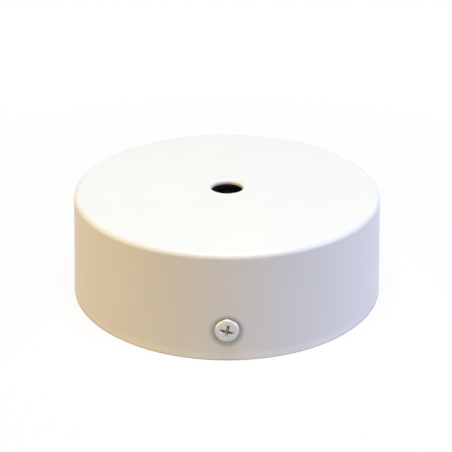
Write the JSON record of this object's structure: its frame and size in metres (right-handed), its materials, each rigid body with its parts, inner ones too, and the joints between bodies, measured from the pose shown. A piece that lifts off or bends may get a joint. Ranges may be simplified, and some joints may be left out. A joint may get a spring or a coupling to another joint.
{
  "type": "ceiling canopy",
  "caption": "Round white sheet-steel ceiling canopy with a centre hole for a lamp cord, held by side screws to a slotted ceiling strap with an earth terminal.",
  "frame": {"origin": "centre of the open rim, in the ceiling plane", "axes": "+Z from the ceiling plane to the closed face on the room side, +Y through the two side screws, towards the one beside the earth terminal"},
  "size_m": [0.1, 0.1018, 0.0332],
  "materials": {
    "white_powder_coat": "satin",
    "zinc_plated_steel": "satin",
    "nickel_plated_steel": "gloss",
    "brass": "gloss"
  },
  "bodies": {
    "root": {"canopy_cup": "white_powder_coat", "mounting_strap": "zinc_plated_steel", "side_screws": "nickel_plated_steel", "earth_clamp_plate": "zinc_plated_steel", "earth_spring_washer": "zinc_plated_steel", "earth_screw": "brass"}
  },
  "joints": []
}
